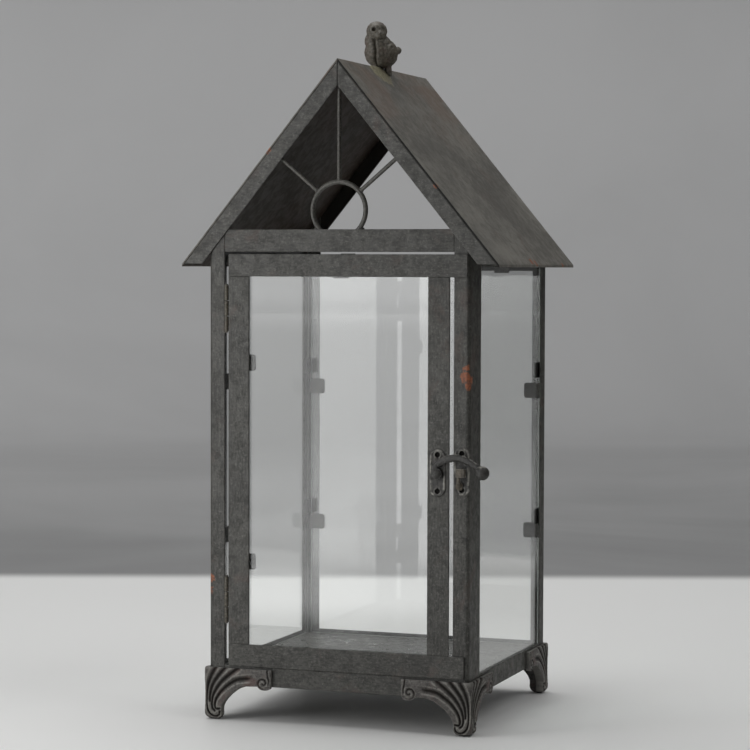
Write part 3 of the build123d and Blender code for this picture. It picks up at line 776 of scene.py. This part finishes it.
def bird_shape(point, normal):
    """Furrows between wings and breast, eye sockets, brow and ruffled feathers, in millimetres."""
    shift = 0.28 + noise.fractal(point * 0.6, 0.9, 2.1, 3) * 0.20
    for eye, strength in EYES:
        away = (point - eye).length
        shift -= strength * (1 - smoothstep(0.4, 1.7, away))
        shift += 0.12 * strength * smoothstep(1.5, 2.1, away) * (1 - smoothstep(2.1, 2.9, away))
    turn, spread = round_breast(point)
    lower = smoothstep(RIDGE + 21.5, RIDGE + 17, point.z) * smoothstep(RIDGE + 0.5, RIDGE + 4, point.z)
    left = 1.25 * math.exp(-(((turn + spread) / 6.5) ** 2))
    right = 0.50 * math.exp(-(((turn - spread) / 9.0) ** 2))
    shift -= lower * (left + right)
    wing = smoothstep(spread + 4, spread + 30, abs(turn)) * lower
    ruffle = math.sin(point.z * 1.1 - abs(turn) * 0.05 + 2.5 * noise.noise(point * 0.25))
    shift += 0.12 * wing * ruffle + 0.35 * wing
    return shift


def bird_painted_light(point, normal):
    """Painted shade in the eye sockets and the furrow, painted highlight on faces turned up and to the front.
    """
    hollow_shade = max(strength * (1 - smoothstep(0.9, 2.0, (point - eye).length)) for eye, strength in EYES)
    turn, spread = round_breast(point)
    lower = smoothstep(RIDGE + 22, RIDGE + 17, point.z)
    hollow_shade = max(hollow_shade, 0.85 * lower * math.exp(-(((turn + spread) / 5.0) ** 2)))
    crest_highlight = 0.30 * smoothstep(0.1, 0.9, noise.noise(point * 0.55) + 0.6 * normal.z - 0.2 * normal.y)
    return hollow_shade, crest_highlight * (1 - hollow_shade)


def bird():
    """Plump generic bird: body, breast, head, cheek, nape, beak, tail and two legs, cast as one."""
    bm = bmesh.new()
    tilt = Quaternion((1, 0, 0), math.radians(-14)).to_matrix()
    ball(bm, BODY, (10.6, 11.6, 10.3), Quaternion(UP, math.radians(-24)).to_matrix() @ tilt)
    ball(bm, BODY + Vector((-0.8, -2.6, 4.2)), (8.8, 8.4, 8.8))
    ball(bm, HEAD, (7.0, 6.9, 6.7))
    ball(bm, HEAD + Vector((2.0, -2.2, -2.6)), (5.4, 4.6, 4.2))
    ball(bm, HEAD + Vector((-2.2, 1.0, -6.0)), (6.2, 6.6, 6.4))
    beak = Vector((0.58, -0.80, -0.14))
    tube(bm, [HEAD + beak * 5.2, HEAD + beak * 7.2, HEAD + beak * 8.7 + Vector((0, 0, -0.5))],
         [(1.6, 1.6), (1.1, 1.1), (0.4, 0.4)], upright=UP)
    tail = [BODY + Vector((3.0, 7.6, -0.2)), BODY + Vector((4.6, 12.6, 1.8)), BODY + Vector((6.0, 16.6, 3.0))]
    tube(bm, tail, [(4.8, 4.6), (3.3, 3.2), (2.1, 2.1)], upright=UP)
    ball(bm, tail[-1], (2.3, 2.4, 2.2))
    for x, y in ((-3.0, -4.0), (4.4, 1.0)):
        foot_z = RIDGE - abs(x) * ROOF_SLOPE
        tube(bm, [(x * 0.8, y, RIDGE + 4), (x, y, foot_z + 2.0), (x, y, foot_z + 0.3)],
             [(2.4, 2.4), (2.0, 2.0), (2.1, 2.1)], upright=Vector((0, 1, 0)))
    mesh = fuse("bird_figure", bm, 0.40, 6)
    move_points(mesh, bird_shape)
    mark_painted_light(mesh, bird_painted_light)
    piece("bird_figure", mesh, "case", IRON_BIRD, ["bird_finial"], angle=80)


def solder_patch():
    """Smear of solder that runs a little way down both slopes from the bird's feet."""
    bm = bmesh.new()
    steps = 48
    grid = []
    for i in range(steps + 1):
        row = []
        across = -15.0 + 30.0 * i / steps
        for j in range(steps + 1):
            along = -28.0 + 42.0 * j / steps
            edge = math.hypot(across / 11.0, (along + 6.0) / 18.0)
            edge += 0.30 * noise.noise(Vector((across * 0.30, along * 0.22, 4.0)))
            lumps = 0.16 * noise.noise(Vector((across * 0.6, along * 0.6, 9.0)))
            high = 0.60 * (1 - smoothstep(0.60, 1.05, edge)) - 0.08
            high += lumps * (1 - smoothstep(0.6, 1.0, edge))
            ridge = RIDGE - ROOF_SLOPE * (math.hypot(across, 0.3) - 0.1) - 0.05
            row.append(bm.verts.new((across * MM, (BODY.y - 5 + along) * MM, (ridge + high) * MM)))
        grid.append(row)
    for i in range(steps):
        for j in range(steps):
            bm.faces.new((grid[i][j], grid[i + 1][j], grid[i + 1][j + 1], grid[i][j + 1]))
    piece("bird_solder", to_mesh("bird_solder", bm), "case", SOLDERED, angle=80)


bird()
solder_patch()


# ---------------------------------------------------------------- latch

def lumpy(amount, size, seed):
    """A shift for move_points that makes a casting slightly uneven."""
    def shift(point, normal):
        return amount * noise.fractal((point + Vector((seed, seed, seed))) * size, 0.9, 2.0, 3)
    return shift


PLATE_LOW, PLATE_HIGH = (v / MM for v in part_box("latch_plate"))
CATCH_LOW, CATCH_HIGH = (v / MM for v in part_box("catch_plate"))
PIVOT_LOW, PIVOT_HIGH = (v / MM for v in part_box("latch_pivot"))
HOOK_LOW, HOOK_HIGH = (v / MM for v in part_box("hook_arm"))
PIVOT = (PIVOT_LOW + PIVOT_HIGH) / 2
PLATE_HOLES = (-12, 12)   # up and down from a plate's middle
HOOK_BACK = PLATE_LOW.y - 0.4
ARM_DEEP = 2.4
EYE_R = 3.75
KNOB_R = 4.7
KNOB_HIGH = 174.2
# Centre line of the hook's arm as (x, z), and its half height and half depth at each point
ARM_LINE = ((68.6, 173.4), (69.4, 176.4), (71.6, 178.9), (75.0, 181.0), (79.4, 182.7), (84.2, 183.4),
            (89.4, 182.6), (94.6, 180.3), (98.8, 177.6), (101.6, 175.4))
ARM_SIZES = ((1.1, 1.0), (1.7, 1.1), (2.2, 1.15), (2.5, 1.15), (2.55, 1.2), (2.5, 1.3), (2.4, 1.45),
             (2.3, 1.6), (2.3, 1.7), (2.4, 1.8))


def cast_plate(name, low, high, body, replaces, seed):
    """Rough cast plate with rounded ends: raised rim, sunk field and deep screw holes."""
    half = (high.x - low.x) / 2
    middle = (low + high) / 2
    straight = (high.z - low.z) / 2 - half
    outline = [(straight, math.pi * i / 22) for i in range(23)]
    outline += [(straight - 2 * straight * i / 18, math.pi) for i in range(1, 18)]
    outline += [(-straight, math.pi + math.pi * i / 22) for i in range(23)]
    outline += [(-straight + 2 * straight * i / 18, 2 * math.pi) for i in range(1, 18)]
    bm = bmesh.new()
    marks = [bm.verts.layers.float.new(mark) for mark in ("hollow_shade", "crest_highlight")]
    rings = []
    for i in range(27):
        t = 0.02 + 0.98 * (i / 26)
        ring = []
        for base, angle in outline:
            place = Vector((math.cos(angle) * 2, base * 0.35 + math.sin(angle) * 2, seed))
            ragged = min(1 + 0.035 * noise.noise(place), 1.0)
            x = middle.x + t * half * ragged * math.cos(angle)
            z = middle.z + base + t * half * ragged * math.sin(angle)
            rim = math.exp(-(((t - 0.82) / 0.13) ** 2))
            high_y = 0.62 + 0.38 * rim - 0.55 * smoothstep(0.93, 1.0, t) ** 2
            high_y += 0.14 * noise.fractal(Vector((x * 0.6, seed, z * 0.6)), 0.9, 2.0, 3)
            # Painted shade in the screw holes; the raised rim and the lips round the holes are rubbed, with a
            # painted highlight.
            sunk_shade = 0.0
            rim_wear_and_highlight = rim * smoothstep(-0.2, 0.2, noise.noise(Vector((x * 0.4, seed, z * 0.3))))
            for hole in PLATE_HOLES:
                away = math.hypot(x - middle.x, z - middle.z - hole)
                lip = math.exp(-(((away - 2.2) / 0.5) ** 2))
                high_y += 0.30 * lip
                high_y -= (high_y - 0.04) * (1 - smoothstep(1.15, 1.55, away))
                sunk_shade = max(sunk_shade, 1 - smoothstep(1.5, 1.9, away))
                rim_wear_and_highlight = max(rim_wear_and_highlight, 0.45 * lip)
            made = bm.verts.new((x * MM, (high.y - max(high_y, 0.02)) * MM, z * MM))
            made[marks[0]], made[marks[1]] = sunk_shade, rim_wear_and_highlight * (1 - sunk_shade)
            ring.append(made)
        rings.append(ring)
    rings.append([bm.verts.new((v.co.x, high.y * MM, v.co.z)) for v in rings[-1]])
    skin(bm, rings)
    bm.faces.new(rings[0])
    bm.faces.new(list(reversed(rings[-1])))
    piece(name, to_mesh(name, bm), body, IRON_DARK, [replaces], angle=70)


def pivot_head():
    """Large domed rivet head over the hook's eye, on its shank."""
    bm = bmesh.new()
    x, z = PIVOT.x, PIVOT.z
    tip = PIVOT_LOW.y
    base = HOOK_BACK - ARM_DEEP - 0.35
    count = 36
    rings = []
    profile = [(0.02, tip), (0.9, tip + 0.08), (1.7, tip + 0.38), (2.3, tip + 0.85), (2.75, tip + 1.4),
               (2.95, base - 0.1), (2.9, base), (1.5, base), (1.5, PIVOT_HIGH.y)]
    for radius, y in profile:
        ring = []
        for k in range(count):
            angle = 2 * math.pi * k / count
            wave = 1 + 0.03 * math.sin(3 * angle + 1.0)
            ring.append(bm.verts.new(((x + radius * wave * math.cos(angle)) * MM, y * MM,
                                      (z + radius * wave * math.sin(angle)) * MM)))
        rings.append(ring)
    skin(bm, rings)
    bm.faces.new(rings[-1])
    piece("latch_rivet", to_mesh("latch_rivet", bm), "door", IRON_DARK, ["latch_pivot"], angle=50)


def highlight_on_top(point, normal):
    """Painted highlight along the upward-facing edges, in patches."""
    patchy = smoothstep(-0.3, 0.2, noise.noise(point * 0.5))
    return 0.0, 0.90 * smoothstep(0.50, 0.92, normal.z) * patchy


def hook():
    """Arched arm that starts round its eye and ends in a ball."""
    bm = bmesh.new()
    y = HOOK_BACK - ARM_DEEP / 2
    tube(bm, [Vector((x, y - 0.8 * i / 9, z)) for i, (x, z) in enumerate(ARM_LINE)], ARM_SIZES)
    faces = (HOOK_BACK - 0.02, HOOK_BACK - ARM_DEEP + 0.02)
    tube(bm, [Vector((PIVOT.x, at, PIVOT.z)) for at in faces], [(EYE_R, EYE_R)] * 2, upright=UP, around=40)
    ball(bm, (HOOK_HIGH.x - KNOB_R, HOOK_LOW.y + KNOB_R, KNOB_HIGH), (KNOB_R, KNOB_R, KNOB_R))
    mesh = fuse("hook_casting", bm, 0.32, 4)
    move_points(mesh, lumpy(0.14, 0.8, 3.0))
    mark_painted_light(mesh, highlight_on_top)
    piece("hook_casting", mesh, "latch_hook", IRON_DARK, ["hook_arm"], angle=80)


def stud():
    """Square-headed stud held out by a bent stem."""
    low, high = (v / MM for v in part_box("catch_stud"))
    bm = bmesh.new()
    size = 5.6
    middle = Vector((high.x - size / 2, low.y + 2.5, high.z - size / 2))
    head = Matrix.Translation(middle * MM) @ Matrix.Diagonal((size * MM, 4.6 * MM, size * MM, 1.0))
    bmesh.ops.create_cube(bm, size=1.0, matrix=head)
    x, face = middle.x - 1.2, high.y
    stem = [(x - 1.0, face - 0.1, 164.9), (x - 1.0, -90.6, 165.4), (x - 0.7, -92.2, 167.4), (x, -92.6, 171.5)]
    tube(bm, stem, [(1.9, 1.8), (1.5, 1.35), (1.35, 1.3), (1.3, 1.3)], upright=Vector((1, 0, 0)))
    ball(bm, (x - 1.0, face - 0.3, 164.6), (2.7, 1.5, 2.9))
    mesh = fuse("catch_stud_casting", bm, 0.26, 4)
    move_points(mesh, lumpy(0.07, 0.8, 8.0))
    mark_painted_light(mesh, highlight_on_top)
    piece("catch_stud_casting", mesh, "case", IRON_STUD, ["catch_stud"], angle=80)


cast_plate("latch_cast_plate", PLATE_LOW, PLATE_HIGH, "door", "latch_plate", 1.7)
cast_plate("catch_cast_plate", CATCH_LOW, CATCH_HIGH, "case", "catch_plate", 6.4)
hook()
pivot_head()
stud()


# ---------------------------------------------------------------- wire joints

def solder_beads():
    """Small lumps where the gable wires meet the ring and the rake strips."""
    ring_low, ring_high = (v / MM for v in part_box("gable_ring"))
    centre = (ring_low + ring_high) / 2
    outer = (ring_high.x - ring_low.x) / 2
    bm = bmesh.new()
    for angle in (40, 90, 140):
        away = Vector((math.cos(math.radians(angle)), 0, math.sin(math.radians(angle))))
        ball(bm, centre + away * (outer + 0.2), (1.75, 1.35, 1.75), rings=10)
    for x in (-15.6, 15.6):
        ball(bm, (x, centre.y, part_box("front_lintel")[1].z / MM + 0.4), (2.4, 1.3, 1.2), rings=10)
    mesh = fuse("wire_joints", bm, 0.3, 3)
    move_points(mesh, lumpy(0.18, 0.8, 5.0))
    piece("wire_joints", mesh, "case", WIRE, angle=80)


solder_beads()


# ---------------------------------------------------------------- CAD nodes

def soften_edges(obj, width):
    """Round a folded or cut strip's sharp edges a little; width is in millimetres."""
    weld = obj.modifiers.new("weld", "WELD")
    weld.merge_threshold = 0.001 * MM
    bevel = obj.modifiers.new("edges", "BEVEL")
    bevel.width = width * MM
    bevel.segments = 2
    bevel.limit_method = "ANGLE"
    bevel.angle_limit = math.radians(38)


def finish_for(name):
    """The material of a CAD node."""
    if name in ("left_glass", "right_glass"):
        return SIDE_GLASS
    if name.endswith("glass"):
        return FLAT_GLASS
    if "hinge" in name:
        return HINGE
    if name.startswith(("catch", "latch", "hook")) or name.endswith("tabs"):
        return HARDWARE
    if name.startswith("back") and name.endswith("rake"):
        return RAKE_BACK
    if name.startswith("gable"):
        return WIRE
    if name.endswith("roof_panel"):
        return SHEET
    if name == "tray_floor":
        return TRAY
    if name.endswith(("post", "stile")):
        return STRIP_UP
    if name.startswith(("left_", "right_")):
        return STRIP_ALONG
    return STRIP_ACROSS


for name, obj in nodes.items():
    obj.data.materials.clear()
    obj.data.materials.append(finish_for(name))
    if not name.endswith("glass") and not name.startswith("gable"):
        soften_edges(obj, width=0.22 if "hinge" in name or "tabs" in name else 0.32)


# ---------------------------------------------------------------- stage, light and camera

def stage():
    """Flat floor that curves up into a round wall, the same on every side."""
    bm = bmesh.new()
    profile = [(radius, 0.0) for radius in (0.0, 0.4, 0.9, 1.6, FLOOR_R)]
    for i in range(1, 13):
        angle = math.radians(90 * i / 12)
        profile.append((FLOOR_R + COVE_R * math.sin(angle), COVE_R - COVE_R * math.cos(angle)))
    profile.append((FLOOR_R + COVE_R, WALL_TOP))
    count = 96
    rings = []
    for radius, z in profile:
        ring = []
        for k in range(count):
            angle = 2 * math.pi * k / count
            ring.append(bm.verts.new((radius * math.cos(angle), radius * math.sin(angle), z - UNDER_FEET)))
        rings.append(ring)
    skin(bm, rings)
    floor = bpy.data.objects.new("floor", to_mesh("floor", bm))
    bpy.context.scene.collection.objects.link(floor)
    floor.data.materials.append(stage_tone("stage_tone"))
    floor.data.shade_smooth()


def reflected_only(made):
    """Let a lamp show only in gloss and glass, its face fading out towards the edges."""
    made.visible_diffuse = False
    made.data.use_nodes = True
    tree = made.data.node_tree
    place = add(tree, "NewGeometry").outputs["Parametric"]
    falls = []
    for axis in ("X", "Y"):
        side = math_node(tree, "ABSOLUTE", math_node(tree, "SUBTRACT", axis_of(tree, place, axis), 0.5))
        falls.append(fade(tree, side, 0.5, 0.45))
    tree.links.new(times(tree, *falls), tree.nodes["Emission"].inputs["Strength"])


def softbox(name, at, aim, width, height, watts):
    """A rectangular lamp, unseen by the camera, in metres and watts."""
    lamp = bpy.data.lights.new(name, "AREA")
    lamp.shape = "RECTANGLE"
    lamp.size, lamp.size_y = width, height
    lamp.energy = watts
    made = bpy.data.objects.new(name, lamp)
    bpy.context.scene.collection.objects.link(made)
    made.location = at
    made.rotation_euler = (Vector(aim) - Vector(at)).to_track_quat("-Z", "Y").to_euler()
    made.visible_camera = False
    return made


def lights():
    """Soft light from the front left, the top and the right, with two panels for the glass to mirror."""
    softbox("key", (-1.05, -2.2, 0.95), (0, 0, 0.25), 1.4, 1.5, 4.5)
    panel = softbox("window_panel", (-1.05, -2.25, 0.98), (0, 0, 0.25), 1.5, 1.66, 15)
    reflected_only(panel)
    card = softbox("floor_card", (-0.5, -1.28, 0.13), (-0.5, -1.30, 1.13), 1.0, 2.0, 11.5)
    card.rotation_euler = card_turn()
    reflected_only(card)
    softbox("near_left", (-0.62, -0.60, 0.40), (-0.02, -0.05, 0.20), 0.30, 0.7, 2.1)
    softbox("right_top", (1.5, -0.1, 2.1), (0, 0, 0.3), 1.2, 1.2, 10)
    softbox("top", (-0.55, 0.3, 2.6), (0, 0, 0.1), 2.2, 2.2, 36.5)
    rim = softbox("back_right", (1.9, 1.7, 0.9), (0, 0, 0.2), 1.2, 1.6, 2.5)
    rim.visible_glossy = False
    softbox("wall_wash", (-1.2, 1.0, 2.3), (-2.0, 3.2, 1.1), 1.6, 0.9, 15)
    world = bpy.data.worlds.new("world")
    world.use_nodes = True
    sky = world.node_tree.nodes["Background"]
    sky.inputs["Color"].default_value = (*SKY, 1.0)
    sky.inputs["Strength"].default_value = SKY_STRENGTH
    bpy.context.scene.world = world


def card_turn():
    """Turn of the low reflecting card: it faces up and rises slowly away from the object's front."""
    along = Vector((-0.75, -1.85, 0.22)).normalized()
    side = along.cross(Vector((0, 0, 1))).normalized()
    up = side.cross(along)
    return Matrix((side, -along, -up)).transposed().to_euler()


def camera():
    """Camera at the object's front right, a little above its middle and looking slightly down."""
    yaw, pitch, roll = (math.radians(a) for a in (CAMERA_YAW, CAMERA_PITCH, CAMERA_ROLL))
    forward = Vector((math.sin(yaw) * math.cos(pitch), math.cos(yaw) * math.cos(pitch), math.sin(pitch)))
    right = forward.cross(Vector((0, 0, 1))).normalized()
    up = right.cross(forward)
    rolled = math.cos(roll) * right + math.sin(roll) * up
    up = math.cos(roll) * up - math.sin(roll) * right
    turn = Matrix((rolled, up, -forward)).transposed()
    data = bpy.data.cameras.new("camera")
    data.lens = CAMERA_LENS
    data.sensor_width = 36.0
    made = bpy.data.objects.new("camera", data)
    made.matrix_world = Matrix.Translation(CAMERA_AT) @ turn.to_4x4()
    bpy.context.scene.collection.objects.link(made)
    bpy.context.scene.camera = made


stage()
lights()
camera()
bpy.context.scene.view_settings.view_transform = "Standard"
